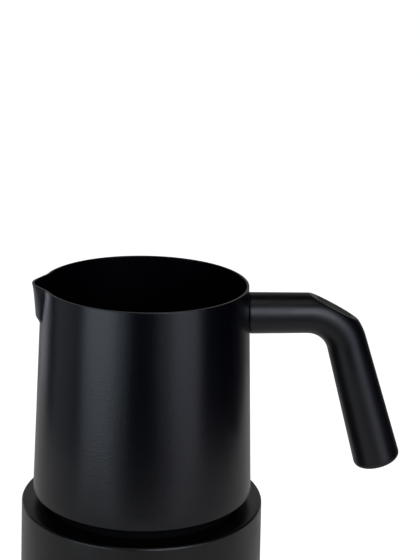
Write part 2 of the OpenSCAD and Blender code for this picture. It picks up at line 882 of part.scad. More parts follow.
// The arm and the grip reach a little way into the bend, a hair thinner than the bend itself
module grip_solid() {
    round = 3;
    lap = 0.3;
    hair = 0.03;
    translate([seam_x - 4, 0, arm_z]) along_x()
        cylinder(r1 = arm_r_root, r2 = arm_r_bend - hair, h = bend_x - seam_x + 4 + lap);
    translate([bend_x, 0, bend_z]) rotate([90, 0, 0]) rotate([0, 0, grip_lean])
        rotate_extrude(angle = 90 - grip_lean) translate([bend_r, 0]) circle(r = arm_r_bend);
    grip_frame() rotate_extrude() polygon(concat(
        [[0, -lap], [arm_r_bend - hair, -lap]],
        arc([grip_r_end - round, grip_len - round], round, 0, 90),
        [[0, grip_len]]));
}

// The grip's end: coped to follow the jug's wall, with a socket for the stub's flange
module seam_cut() {
    translate([0, 0, arm_z - 20]) cylinder(
        r1 = jug_r(arm_z - 20) + seam_gap, r2 = jug_r(arm_z + 14) + seam_gap, h = 34, $fn = 360);
    translate([seam_x - 6, 0, arm_z]) along_x() cylinder(r = stub_r + 0.1, h = stub_x - seam_x + 6.05);
}

module handle_grip() {
    color("#1d1e21") difference() {
        grip_solid();
        thumb_cut();
        thumb_outline(0, -rest_t, 5);
        seam_cut();
        screw_bar(spigot_r + 0.02, stub_x - 1, stub_x + spigot_len + 0.5);
        screw_bar(screw_r + 0.2, stub_x + spigot_len, screw_head_x + 1);
        screw_bar(screw_head_r + 0.1, screw_head_x, bend_x + 19);
        grip_frame() rotate_extrude() polygon([
            [0, 6], [arm_r_bend - core_wall, 6], [grip_r_end - core_wall - 0.8, grip_len - plug_t],
            [plug_r, grip_len - plug_t], [plug_r, grip_len + 1], [0, grip_len + 1]]);
    }
}

module thumb_rest() {
    color("#2a2b2e") thumb_outline(0.15, -rest_t, rest_t + 0.1);
}

module handle_end_plug() {
    color("#1d1e21") grip_frame() difference() {
        translate([0, 0, grip_len - plug_t]) cylinder(r = plug_r, h = plug_t);
        translate([0, 0, grip_len - plug_t - 1]) cylinder(r = 5, h = 4);
    }
}

// ---------- Whisk ----------

module whisk_bush() {
    color("#efece4") rotate_extrude() polygon([
        [spindle_r + fit_gap, bush_z], [4.5, bush_z], [4.5, bush_z + 1], [bush_r, bush_z + 1],
        [bush_r, bead_z - bead_r], [bush_r + bead_r, bead_z], [bush_r, bead_z + bead_r],
        [bush_r, bush_top], [0, bush_top], [0, spindle_top + 0.3], [spindle_r + fit_gap, spindle_top + 0.3]]);
}

module whisk_hub() {
    groove_r = ring_r - coil_wire_r - 0.1;
    bore = bush_r + fit_gap;
    bead = bush_r + bead_r + 0.1;
    color("#2a2c30") difference() {
        rotate_extrude() polygon(concat(
            [[bore, hub_z], [hub_r, hub_z], [hub_r, hub_z + 0.7], [groove_r, hub_z + 0.9]],
            [[groove_r, hub_z + hub_h - 0.9], [hub_r, hub_z + hub_h - 0.7], [hub_r, hub_z + hub_h]],
            [[6, hub_z + hub_h + 2], [4.4, hub_z + hub_h + 6], [4, grip_top - 5]],
            arc([1.8, grip_top - 2.8], 2.8, -10, 90),
            [[0, grip_top], [0, bush_top + 0.3], [bore, bush_top + 0.3]],
            [[bore, bead_z + bead_r + 0.1], [bead, bead_z], [bore, bead_z - bead_r - 0.1]]));
        magnet_spread(whisk_pcr)
            translate([0, 0, hub_z - eps]) cylinder(r = magnet_r + 0.02, h = magnet_t + 0.4);
    }
}

module whisk_magnets() {
    color("#c4c8cc") magnet_spread(whisk_pcr)
        translate([0, 0, hub_z + 0.3]) cylinder(r = magnet_r, h = magnet_t);
}

module whisk_ring() {
    color("#b9bcc0") translate([0, 0, hub_z + hub_h / 2])
        rotate_extrude() translate([ring_r, 0]) circle(r = coil_wire_r, $fn = 48);
}

base_shell();
bottom_plate();
foot_ring();
bottom_screws();
seat_plate();
seat_gasket();
coil_carrier();
carrier_screws();
induction_coil();
ferrite_bars();
temperature_sensor();
motor_bracket();
bracket_screws();
motor_can();
motor_end_cap();
motor_screws();
motor_shaft();
magnet_carrier();
drive_magnets();
fan_frame();
fan_rotor();
fan_screws();
main_board();
board_screws();
heat_sink();
power_transistor();
resonance_capacitor();
filter_capacitors();
mains_choke();
terminal_block();
control_board();
control_screws();
switch_body();
switch_plunger();
button_cap();
light_ring();
light_guides();
cord_gland();
gland_nut();
jug_body();
jug_foot();
induction_disc();
whisk_spindle();
handle_stub();
handle_screw();
handle_grip();
thumb_rest();
handle_end_plug();
whisk_bush();
whisk_hub();
whisk_magnets();
whisk_ring();
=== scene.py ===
import json
import math

import bmesh
import bpy
from mathutils import Matrix, Vector


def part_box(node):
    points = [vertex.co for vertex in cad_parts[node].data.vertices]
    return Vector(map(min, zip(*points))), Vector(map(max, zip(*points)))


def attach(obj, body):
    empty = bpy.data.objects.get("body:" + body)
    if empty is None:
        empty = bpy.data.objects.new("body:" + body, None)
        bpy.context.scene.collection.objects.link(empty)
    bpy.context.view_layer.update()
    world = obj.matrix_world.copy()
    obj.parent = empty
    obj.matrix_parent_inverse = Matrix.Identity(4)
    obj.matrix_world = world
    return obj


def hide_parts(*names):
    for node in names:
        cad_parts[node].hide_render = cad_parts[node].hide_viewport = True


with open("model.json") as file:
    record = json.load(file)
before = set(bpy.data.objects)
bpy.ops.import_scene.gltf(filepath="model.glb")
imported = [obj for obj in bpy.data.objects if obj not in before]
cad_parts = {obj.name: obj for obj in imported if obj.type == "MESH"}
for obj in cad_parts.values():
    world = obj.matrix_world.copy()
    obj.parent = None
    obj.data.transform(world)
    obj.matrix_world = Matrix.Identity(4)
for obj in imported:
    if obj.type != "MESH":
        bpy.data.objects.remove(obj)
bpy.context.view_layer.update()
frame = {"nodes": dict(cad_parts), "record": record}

# Milk frother: a round base and a spouted jug with a tubular handle. Metres, on the CAD frame:
# +Z up, handle to +X, spout to -X, button to -Y, origin on the table under the base's axis.

MM = 0.001

# What the frame gives: the whisk ring's box and three heights
jug_low, jug_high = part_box("jug_body")
rim_z = jug_high.z
pot_z = jug_low.z
base_rim_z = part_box("base_shell")[1].z
ring_low, ring_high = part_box("whisk_ring")

# The jug's other sizes, as the CAD source states them
JUG_R_RIM = 51.6 * MM
JUG_R_SHOULDER = 56.4 * MM
JUG_WALL = 1.2 * MM
SHOULDER_Z = base_rim_z + 5 * MM
SHOULDER_ROUND = 2 * MM
POT_R = 48.3 * MM
POT_CORNER = 3 * MM
RECESS_R = 51 * MM
SPOUT_REACH = 4.9 * MM
SPOUT_DEPTH = 20.5 * MM
RIM_EDGE = 0.25 * MM
JUG_SEGMENTS = 384
JUG_TAPER = (JUG_R_SHOULDER - JUG_R_RIM) / (rim_z - SHOULDER_Z)

# The handle: a level arm, a bend and a leaning grip in the plane y = 0
ARM_Z = base_rim_z + 98.9 * MM
SEAM_GAP = 0.3 * MM
SEAM_X = JUG_R_RIM + JUG_TAPER * (rim_z - ARM_Z) + SEAM_GAP
STUB_X = SEAM_X + 2 * MM
STUB_R = 8 * MM
SOCKET_R = STUB_R + 0.1 * MM
SEAM_LIP = 0.3 * MM
BEND_X = 81.8 * MM
BEND_R = 22.4 * MM
GRIP_LEAN = math.radians(16.9)
GRIP_LEN = 68 * MM
ARM_R_ROOT = 10.5 * MM
ARM_R_BEND = 10.3 * MM
GRIP_R_END = 12.1 * MM
GRIP_ROUND = 3 * MM
PLUG_HOLE_R = 9.56 * MM
PLUG_HOLE_EDGE = 0.5 * MM
PLUG_T = 5 * MM
ARM_STEPS = 30
BEND_STEPS = 150
GRIP_STEPS = 40
END_STEPS = 8
TUBE_SEGMENTS = 256
THUMB_TILT = math.radians(28)
THUMB_REACH = 29.2 * MM
THUMB_EDGE = 0.3 * MM
REST_MID = 0.5 * MM
REST_HALF_L = 9.8 * MM
REST_HALF_W = 5 * MM
REST_CORNER = 3 * MM
REST_DEPTH = 1.6 * MM

# The whisk's spring
WIRE_R = 0.42 * MM
SPRING_TURNS = 84
STEPS_PER_TURN = 18
WIRE_SIDES = 8


# ---------- Mesh helpers ----------

def new_object(name, mesh):
    obj = bpy.data.objects.new(name, mesh)
    bpy.context.scene.collection.objects.link(obj)
    return obj


def smooth(mesh, angle=35):
    for poly in mesh.polygons:
        poly.use_smooth = True
    mesh.set_sharp_from_angle(angle=math.radians(angle))


def object_from(name, bm, angle=35):
    bmesh.ops.recalc_face_normals(bm, faces=bm.faces)
    mesh = bpy.data.meshes.new(name)
    bm.to_mesh(mesh)
    bm.free()
    smooth(mesh, angle)
    return new_object(name, mesh)


def arc(cx, cy, r, start, end, steps):
    """Points on a circle, with the angles in degrees."""
    points = []
    for i in range(steps + 1):
        a = math.radians(start + (end - start) * i / steps)
        points.append((cx + r * math.cos(a), cy + r * math.sin(a)))
    return points


def stretch(start, end, steps):
    """Evenly spaced points after start, up to and including end."""
    return [tuple(a + (b - a) * i / steps for a, b in zip(start, end)) for i in range(1, steps + 1)]


def lathe(name, profile, segments, push=None, angle=35):
    """Turns (radius, height) points round Z. push(angle, height) is added to the radius."""
    bm = bmesh.new()
    rows = []
    for r, z in profile:
        if r < 1e-6:
            rows.append([bm.verts.new((0, 0, z))])
            continue
        row = []
        for k in range(segments):
            a = 2 * math.pi * k / segments
            out = r + (push(a, z) if push else 0)
            row.append(bm.verts.new((out * math.cos(a), out * math.sin(a), z)))
        rows.append(row)
    for low, high in zip(rows, rows[1:]):
        for k in range(segments):
            quad = [low[k % len(low)], low[(k + 1) % segments % len(low)],
                    high[(k + 1) % segments % len(high)], high[k % len(high)]]
            bm.faces.new(list(dict.fromkeys(quad)))
    return object_from(name, bm, angle)


def smoothstep(x, low, high):
    t = min(max((x - low) / (high - low), 0), 1)
    return t * t * (3 - 2 * t)


# ---------- Jug ----------

def jug_r(z):
    return JUG_R_RIM + JUG_TAPER * (rim_z - z)


def spout_push(a, z):
    """How far the pressed spout stands out of the round wall, at angle a from +X.

    The spout is a bell across its width. It narrows and leans in on its way down and fades out at
    its foot. A crease runs down beside it, where the pressed metal turns back to the round wall.
    """
    depth = max(rim_z - z, 0)
    if depth > SPOUT_DEPTH:
        return 0
    spread_at_rim, narrowing = 9.6, 4.8     # degrees
    nose = 1.4                              # rounding of the spout's middle, degrees
    flare_at_rim, flare_depth = 0.6 * MM, 3 * MM
    lean = 0.11                             # metres inwards for each metre down
    crease_at_rim, crease_growth, growth_depth = 0.35 * MM, 0.45 * MM, 5 * MM
    crease_place, crease_width = 1.75, 0.42     # in spreads

    off = math.degrees(abs(math.pi - a % (2 * math.pi)))
    off = math.sqrt(off ** 2 + nose ** 2) - nose
    spread = spread_at_rim - narrowing * depth / SPOUT_DEPTH
    fade = 1 - smoothstep(depth, 0.8 * SPOUT_DEPTH, SPOUT_DEPTH)
    flare = flare_at_rim * math.exp(-depth / flare_depth)
    reach = (SPOUT_REACH - 0.9 * MM - lean * depth) * fade + flare
    crease = (crease_at_rim + crease_growth * smoothstep(depth, 0, growth_depth)) * fade
    from_crease = (off - crease_place * spread) / (crease_width * spread)
    return reach * math.exp(-(off / spread) ** 1.9) - crease * math.exp(-from_crease ** 2)


def jug_profile():
    """(radius, height) points: up the outside, over the rim and down the inside."""
    w = JUG_WALL
    edge = RIM_EDGE
    top = rim_z - edge
    band = rim_z - SPOUT_DEPTH - 2 * MM
    shoulder_top = SHOULDER_Z + SHOULDER_ROUND
    shoulder_r = JUG_R_SHOULDER - SHOULDER_ROUND
    points = [(0, pot_z)]
    points += arc(POT_R - POT_CORNER, pot_z + POT_CORNER, POT_CORNER, -90, 0, 8)
    points += stretch(points[-1], (POT_R, SHOULDER_Z), 3)
    points += arc(shoulder_r - w / 4, shoulder_top, SHOULDER_ROUND, -90, 0, 8)
    points += stretch(points[-1], (jug_r(band), band), 14)
    points += stretch(points[-1], (jug_r(top), top), 30)
    points += arc(jug_r(top) - edge, top, edge, 0, 90, 5)[1:]
    points += arc(jug_r(top) - w + edge, top, edge, 90, 180, 5)
    points += stretch(points[-1], (jug_r(band) - w, band), 30)
    points += stretch(points[-1], (jug_r(shoulder_top) - w, shoulder_top), 14)
    points += arc(shoulder_r - w / 4, shoulder_top, SHOULDER_ROUND - w, 0, -90, 5)[1:]
    points += stretch(points[-1], (POT_R - w, SHOULDER_Z + w), 3)
    points += arc(POT_R - POT_CORNER, pot_z + POT_CORNER, POT_CORNER - w, 0, -90, 6)
    points += [(0, pot_z + w)]
    return points


def make_jug():
    jug = lathe("jug_shell", jug_profile(), JUG_SEGMENTS, spout_push, angle=50)
    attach(jug, "jug")
    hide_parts("jug_body")
    return jug


# ---------- Handle ----------

def soft_min(a, b, k):
    """The smaller of two lengths, rounded where they cross."""
    h = max(k - abs(a - b), 0) / k
    return min(a, b) - h * h * k / 4


def handle_rings():
    """(x, z, tilt from +X in radians, radius, cope) for each ring, from the jug to the free end.

    Cope is how fully the ring follows the round of the jug's wall.
    """
    rings = [(STUB_X + 0.05 * MM, ARM_Z, 0, SOCKET_R, 0), (SEAM_X, ARM_Z, 0, SOCKET_R, 1)]

    # The rounded lip at the seam and the level arm
    lip = SEAM_LIP
    arm = BEND_X - SEAM_X
    widen = (ARM_R_BEND - ARM_R_ROOT) / arm
    for s, dr in ((0, -lip), (0.12 * lip, -0.5 * lip), (0.5 * lip, -0.12 * lip), (lip, 0)):
        rings.append((SEAM_X + s, ARM_Z, 0, ARM_R_ROOT + dr, 1))
    for i in range(1, ARM_STEPS):
        s = lip + (arm - lip) * i / ARM_STEPS
        rings.append((SEAM_X + s, ARM_Z, 0, ARM_R_ROOT + s * widen, 1 - i / ARM_STEPS))

    # The bend
    turn = math.pi / 2 - GRIP_LEAN
    bend_z = ARM_Z - BEND_R
    for i in range(BEND_STEPS + 1):
        a = turn * i / BEND_STEPS
        rings.append((BEND_X + BEND_R * math.sin(a), bend_z + BEND_R * math.cos(a), a, ARM_R_BEND, 0))

    # The grip, its rounded end and the hole for the plug
    x0, z0 = rings[-1][:2]
    straight = GRIP_LEN - GRIP_ROUND

    def grip_ring(s, r):
        rings.append((x0 + s * math.cos(turn), z0 - s * math.sin(turn), turn, r, 0))

    for i in range(1, GRIP_STEPS + 1):
        s = straight * i / GRIP_STEPS
        grip_ring(s, ARM_R_BEND + (GRIP_R_END - ARM_R_BEND) * s / straight)
    last = math.acos((PLUG_HOLE_R - GRIP_R_END + GRIP_ROUND) / GRIP_ROUND)
    for i in range(1, END_STEPS + 1):
        a = last * i / END_STEPS
        r = GRIP_R_END - GRIP_ROUND + GRIP_ROUND * math.cos(a)
        grip_ring(straight + GRIP_ROUND * math.sin(a), r)
    grip_ring(GRIP_LEN - PLUG_HOLE_EDGE, PLUG_HOLE_R)
    grip_ring(GRIP_LEN - PLUG_T, PLUG_HOLE_R)
    return rings


def thumb_place():
    """The flat's middle, the direction square to it and the direction along it."""
    normal = Vector((math.sin(THUMB_TILT), 0, math.cos(THUMB_TILT)))
    along = Vector((math.cos(THUMB_TILT), 0, -math.sin(THUMB_TILT)))
    return Vector((BEND_X, 0, ARM_Z - BEND_R)) + normal * THUMB_REACH, normal, along


def length_to_flat(centre, ray, middle, normal):
    """How far a ray from the tube's middle goes before it leaves through the flat."""
    rise = ray.dot(normal)
    if rise < 1e-6:
        return math.inf
    return (middle - centre).dot(normal) / rise


def make_grip():
    middle, normal, along = thumb_place()
    bm = bmesh.new()
    rows = []
    for x, z, tilt, r, cope in handle_rings():
        centre = Vector((x, 0, z))
        row = []
        for k in range(TUBE_SEGMENTS):
            a = 2 * math.pi * k / TUBE_SEGMENTS
            ray = Vector((math.cos(a) * math.sin(tilt), math.sin(a), math.cos(a) * math.cos(tilt)))
            p = centre + ray * soft_min(r, length_to_flat(centre, ray, middle, normal), THUMB_EDGE)
            wall = math.sqrt(max((jug_r(p.z) + SEAM_GAP) ** 2 - p.y ** 2, 0))
            row.append(bm.verts.new((p.x + cope * (wall - SEAM_X), p.y, p.z)))
        rows.append(row)
    for low, high in zip(rows, rows[1:]):
        for k in range(TUBE_SEGMENTS):
            n = (k + 1) % TUBE_SEGMENTS
            bm.faces.new((low[k], low[n], high[n], high[k]))
    bm.faces.new(list(reversed(rows[0])))
    bm.faces.new(rows[-1])
    grip = object_from("handle_tube", bm)
    sink_rest_pocket(grip, middle, normal, along)
    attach(grip, "jug")
    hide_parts("handle_grip")
    return grip


def sink_rest_pocket(grip, middle, normal, along):
    """Cuts the round-cornered pocket for the thumb rest into the flat."""
    side = Vector((0, 1, 0))
    above = 3 * MM
    l = REST_HALF_L - REST_CORNER
    w = REST_HALF_W - REST_CORNER
    bm = bmesh.new()
    rows = []
    for height in (-REST_DEPTH, above):
        row = []
        for cx, cy, start in ((l, w, 0), (-l, w, 90), (-l, -w, 180), (l, -w, 270)):
            for u, v in arc(cx, cy, REST_CORNER, start, start + 90, 12):
                place = middle + along * (REST_MID + u) + side * v + normal * height
                row.append(bm.verts.new(place))
        rows.append(row)
    low, high = rows
    for k in range(len(low)):
        n = (k + 1) % len(low)
        bm.faces.new((low[k], low[n], high[n], high[k]))
    bm.faces.new(list(reversed(low)))
    bm.faces.new(high)
    cutter = object_from("pocket_cutter", bm)
    cut = grip.modifiers.new("pocket", "BOOLEAN")
    cut.operation = "DIFFERENCE"
    cut.solver = "EXACT"
    cut.object = cutter
    bpy.context.view_layer.update()
    evaluated = grip.evaluated_get(bpy.context.evaluated_depsgraph_get())
    shaped = bpy.data.meshes.new_from_object(evaluated)
    grip.modifiers.clear()
    grip.data = shaped
    smooth(grip.data)
    bpy.data.objects.remove(cutter)


# ---------- Whisk ----------

def make_whisk_spring():
    """A close-wound steel spring bent into a ring."""
    centre_z = (ring_low.z + ring_high.z) / 2
    coil_r = (ring_high.z - ring_low.z) / 2
    ring_r = ring_high.x - coil_r
    winding_r = coil_r - WIRE_R
    total = SPRING_TURNS * STEPS_PER_TURN
    bm = bmesh.new()
    rows = []
    for i in range(total):
        a = 2 * math.pi * i / total
        b = 2 * math.pi * i / STEPS_PER_TURN
        out = Vector((math.cos(a), math.sin(a), 0))
        up = Vector((0, 0, centre_z + winding_r * math.sin(b)))
        centre = out * (ring_r + winding_r * math.cos(b)) + up
        radial = out * math.cos(b) + Vector((0, 0, math.sin(b)))
        around = Vector((-math.sin(a), math.cos(a), 0))
        row = []
        for k in range(WIRE_SIDES):
            c = 2 * math.pi * k / WIRE_SIDES
            row.append(bm.verts.new(centre + (radial * math.cos(c) + around * math.sin(c)) * WIRE_R))
        rows.append(row)
    for low, high in zip(rows, rows[1:] + rows[:1]):
        for k in range(WIRE_SIDES):
            n = (k + 1) % WIRE_SIDES
            bm.faces.new((low[k], low[n], high[n], high[k]))
    spring = object_from("whisk_spring", bm, angle=60)
    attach(spring, "whisk")
    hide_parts("whisk_ring")
    return spring


# ---------- Materials ----------

class Shader:
    """Adds nodes to one material, around a Principled shader."""

    def __init__(self, name, color, roughness, metallic=0.0, specular=0.5):
        self.material = bpy.data.materials.new(name)
        self.material.use_nodes = True
        self.tree = self.material.node_tree
        self.shader = self.tree.nodes["Principled BSDF"]
        self.color = color
        self.shader.inputs["Base Color"].default_value = (*color, 1)
        self.shader.inputs["Roughness"].default_value = roughness
        self.shader.inputs["Metallic"].default_value = metallic
        self.shader.inputs["Specular IOR Level"].default_value = specular
        self.place = self.tree.nodes.new("ShaderNodeTexCoord").outputs["Object"]
        self.relief = None

    def add(self, kind, **settings):
        node = self.tree.nodes.new(kind)
        for key, value in settings.items():
            setattr(node, key, value)
        return node

    def link(self, a, b):
        self.tree.links.new(a, b)

    def scaled(self, scale):
        mapping = self.add("ShaderNodeMapping")
        mapping.inputs["Scale"].default_value = scale
        self.link(self.place, mapping.inputs["Vector"])
        return mapping.outputs["Vector"]

    def noise(self, scale, detail, stretch_by=(1, 1, 1)):
        node = self.add("ShaderNodeTexNoise")
        node.inputs["Scale"].default_value = scale
        node.inputs["Detail"].default_value = detail
        self.link(self.scaled(stretch_by), node.inputs["Vector"])
        return node.outputs["Fac"]

    def cells(self, scale, feature="F1", stretch_by=(1, 1, 1)):
        node = self.add("ShaderNodeTexVoronoi", feature=feature)
        node.inputs["Scale"].default_value = scale
        self.link(self.scaled(stretch_by), node.inputs["Vector"])
        return node.outputs["Distance"]

    def ranged(self, value, low, high, from_low=0.3, from_high=0.7):
        """Stretches from_low to from_high over low to high, and holds the ends."""
        node = self.add("ShaderNodeMapRange")
        node.inputs["From Min"].default_value = from_low
        node.inputs["From Max"].default_value = from_high
        node.inputs["To Min"].default_value = low
        node.inputs["To Max"].default_value = high
        self.link(value, node.inputs["Value"])
        return node.outputs["Result"]

    def roughen(self, value, low, high):
        self.link(self.ranged(value, low, high), self.shader.inputs["Roughness"])

    def radius(self):
        """Distance from the jug's axis."""
        flat = self.add("ShaderNodeVectorMath", operation="MULTIPLY")
        flat.inputs[1].default_value = (1, 1, 0)
        self.link(self.place, flat.inputs[0])
        length = self.add("ShaderNodeVectorMath", operation="LENGTH")
        self.link(flat.outputs["Vector"], length.inputs[0])
        return length.outputs["Value"]

    def height_above_table(self):
        split = self.add("ShaderNodeSeparateXYZ")
        self.link(self.place, split.inputs["Vector"])
        return split.outputs["Z"]

    def matt_below(self, value, limit):
        """Makes the surface matt where value is less than limit, in metres."""
        edge = 0.2 * MM
        matt_roughness = 0.8
        gloss, matt_gloss = 0.5, 0.1
        mask = self.ranged(value, 1, 0, limit - edge, limit + edge)
        old = self.shader.inputs["Roughness"].links[0].from_socket
        mix = self.add("ShaderNodeMix", data_type="FLOAT")
        mix.inputs["B"].default_value = matt_roughness
        self.link(mask, mix.inputs["Factor"])
        self.link(old, mix.inputs["A"])
        self.link(mix.outputs["Result"], self.shader.inputs["Roughness"])
        dulled = self.ranged(mask, gloss, matt_gloss, 0, 1)
        self.link(dulled, self.shader.inputs["Specular IOR Level"])

    def tint(self, value, other, from_low=0.35, from_high=0.65):
        """Blends the base colour towards another as the value rises."""
        mix = self.add("ShaderNodeMix", data_type="RGBA")
        mix.inputs["A"].default_value = (*self.color, 1)
        mix.inputs["B"].default_value = (*other, 1)
        self.link(self.ranged(value, 0, 1, from_low, from_high), mix.inputs["Factor"])
        self.link(mix.outputs["Result"], self.shader.inputs["Base Color"])

    def bump(self, value, depth, strength):
        """Adds relief of about depth metres to the relief that is there."""
        node = self.add("ShaderNodeBump")
        node.inputs["Strength"].default_value = strength
        node.inputs["Distance"].default_value = depth
        self.link(value, node.inputs["Height"])
        if self.relief:
            self.link(self.relief, node.inputs["Normal"])
        self.relief = node.outputs["Normal"]
        self.link(self.relief, self.shader.inputs["Normal"])


def moulded_shader(name, color, roughness, grain, depth=0.00002):
    """Moulded plastic: fine spark-eroded grain, with slow drifts in gloss."""
    s = Shader(name, color, roughness)
    drift = 0.05
    s.roughen(s.noise(60, 4), roughness - drift, roughness + drift)
    lighter = tuple(c * 1.35 + 0.0006 for c in color)
    s.tint(s.noise(grain * 0.6, 2), lighter)
    s.bump(s.noise(grain, 2), depth, 0.5)
    return s


def moulded(*args, **settings):
    return moulded_shader(*args, **settings).material


def base_plastic(name):
    """The base's fine satin grain, matt inside the recess that takes the jug."""
    s = moulded_shader(name, (0.0006, 0.0006, 0.0008), 0.3, grain=1700)
    s.matt_below(s.radius(), RECESS_R)
    return s.material


def coated(name):
    """Satin non-stick coating on steel: sprayed flecks, faint orange peel and slow drifts in gloss."""
    s = Shader(name, (0.0003, 0.0004, 0.0013), 0.24)
    s.roughen(s.noise(1300, 2), 0.21, 0.27)
    s.matt_below(s.height_above_table(), SHOULDER_Z)
    s.tint(s.cells(1400), (0.0008, 0.001, 0.0024), 0.1, 0.9)
    s.bump(s.noise(1100, 2), 0.00006, 0.9)
    s.bump(s.noise(2600, 2), 0.00002, 0.35)
    return s.material


def brushed(name, color, roughness, stretch_by=(1, 1, 40)):
    """Metal with a fine one-way grain."""
    s = Shader(name, color, roughness, metallic=1.0)
    grain = s.noise(500, 4, stretch_by)
    s.roughen(grain, roughness - 0.08, roughness + 0.1)
    s.tint(grain, tuple(c * 0.8 for c in color))
    s.bump(grain, 0.000006, 0.4)
    return s.material


def plated(name, color, roughness):
    """Plated metal with small blotches and pits."""
    s = Shader(name, color, roughness, metallic=1.0)
    s.roughen(s.noise(350, 4), roughness - 0.06, roughness + 0.12)
    s.tint(s.noise(220, 5), tuple(c * 0.78 for c in color))
    s.bump(s.cells(1800), 0.000008, 0.25)
    return s.material


def rubbery(name, color):
    s = Shader(name, color, 0.75, specular=0.3)
    s.roughen(s.noise(250, 4), 0.68, 0.85)
    s.tint(s.noise(90, 5), tuple(c * 1.5 for c in color))
    s.bump(s.noise(1800, 3), 0.00003, 0.5)
    return s.material


def glassy_black(name):
    """Smooth glazed plate with faint dust-size pits."""
    s = Shader(name, (0.006, 0.006, 0.0065), 0.12)
    s.roughen(s.noise(140, 5), 0.09, 0.2)
    s.tint(s.noise(700, 2), (0.010, 0.010, 0.011))
    s.bump(s.noise(900, 2), 0.000008, 0.2)
    return s.material


def board(name):
    """Solder mask with copper runs showing through as slightly lighter lines."""
    s = Shader(name, (0.012, 0.10, 0.04), 0.35)
    runs = s.cells(260, "DISTANCE_TO_EDGE", (1, 1, 0.4))
    s.tint(runs, (0.03, 0.2, 0.08), 0.12, 0.02)
    s.roughen(s.noise(300, 3), 0.28, 0.45)
    s.bump(runs, 0.00004, 0.4)
    return s.material


def windings(name, color, pitch):
    """Enamelled wire: fine ridges that follow the turns, with painted shade in the grooves between
    them.
    """
    s = Shader(name, color, 0.3, metallic=0.8)
    wave = s.add("ShaderNodeTexWave", wave_type="RINGS", rings_direction="Z", wave_profile="SIN")
    wave.inputs["Scale"].default_value = 0.5 / pitch
    wave.inputs["Distortion"].default_value = 0.4
    s.link(s.place, wave.inputs["Vector"])
    # Painted shade: the copper colour darkens to 0.45 where the wave sinks the bump, in the grooves
    # between turns
    s.tint(wave.outputs["Fac"], tuple(c * 0.45 for c in color), 0.6, 0.1)
    s.roughen(s.noise(400, 3), 0.24, 0.42)
    s.bump(wave.outputs["Fac"], 0.00015, 0.6)
    return s.material


def sintered(name, color, roughness):
    """Sintered ceramic or ferrite: open, sandy grain."""
    s = Shader(name, color, roughness, specular=0.35)
    s.roughen(s.noise(500, 4), roughness - 0.1, roughness + 0.1)
    s.tint(s.cells(900), tuple(min(c * 1.4 + 0.01, 1) for c in color), 0.1, 0.8)
    s.bump(s.noise(2200, 4), 0.00003, 0.6)
    return s.material


def frosted(name):
    """Frosted light guide."""
    s = Shader(name, (0.30, 0.31, 0.33), 0.45)
    s.shader.inputs["Subsurface Weight"].default_value = 0.3
    s.shader.inputs["Subsurface Scale"].default_value = 0.001
    s.roughen(s.noise(800, 3), 0.38, 0.55)
    s.tint(s.noise(300, 3), (0.38, 0.39, 0.41))
    s.bump(s.noise(2400, 2), 0.00001, 0.4)
    return s.material


SLOTS = {
    "base_plastic": base_plastic,
    "jug_coating": coated,
    "handle_plastic": lambda n: moulded(n, (0.0008, 0.0008, 0.0016), 0.36, grain=2400, depth=0.00001),
    "thumb_plastic": lambda n: moulded(n, (0.012, 0.012, 0.013), 0.62, grain=1500, depth=0.00003),
    "silicone": lambda n: rubbery(n, (0.02, 0.02, 0.021)),
    "seat_ceramic": glassy_black,
    "stainless": lambda n: brushed(n, (0.56, 0.56, 0.57), 0.28),
    "zinc": lambda n: plated(n, (0.62, 0.61, 0.58), 0.3),
    "litz_copper": lambda n: windings(n, (0.62, 0.26, 0.11), 0.0021),
    "ferrite": lambda n: sintered(n, (0.035, 0.035, 0.038), 0.6),
    "sensor_ceramic": lambda n: sintered(n, (0.72, 0.69, 0.62), 0.5),
    "motor_steel": lambda n: brushed(n, (0.52, 0.53, 0.55), 0.34, (1, 1, 30)),
    "nylon": lambda n: moulded(n, (0.62, 0.60, 0.55), 0.45, grain=900, depth=0.00002),
    "coil_former": lambda n: moulded(n, (0.42, 0.39, 0.33), 0.6, grain=700, depth=0.00004),
    "circuit_board": board,
    "sink_aluminium": lambda n: brushed(n, (0.6, 0.61, 0.62), 0.36, (1, 1, 0.03)),
    "black_epoxy": lambda n: moulded(n, (0.012, 0.012, 0.013), 0.55, grain=1200, depth=0.00003),
    "capacitor_film": lambda n: moulded(n, (0.02, 0.09, 0.3), 0.25, grain=400, depth=0.00004),
    "capacitor_sleeve": lambda n: moulded(n, (0.02, 0.02, 0.028), 0.25, grain=500, depth=0.00002),
    "choke_copper": lambda n: windings(n, (0.5, 0.2, 0.08), 0.0011),
    "terminal_green": lambda n: moulded(n, (0.03, 0.22, 0.08), 0.42, grain=900, depth=0.00003),
    "button_plastic": lambda n: moulded(n, (0.006, 0.006, 0.0065), 0.34, grain=2000, depth=0.00001),
    "light_guide": frosted,
    "magnet_nickel": lambda n: plated(n, (0.66, 0.63, 0.58), 0.16),
    "whisk_plastic": lambda n: moulded(n, (0.008, 0.008, 0.0085), 0.38, grain=1600, depth=0.00002),
    "spring_steel": lambda n: brushed(n, (0.66, 0.66, 0.67), 0.16, (6, 6, 6)),
}


def dress(obj, material):
    obj.data.materials.clear()
    obj.data.materials.append(material)


def dress_all(pieces):
    materials = {}
    for slot, make in SLOTS.items():
        materials[slot] = make(slot)
    for row in frame["record"]["subparts"]:
        dress(frame["nodes"][row["node"]], materials[row["material_slot"]])
    for obj, slot in pieces:
        dress(obj, materials[slot])


# ---------- Studio ----------

JUG_MIDDLE_Z = 120 * MM

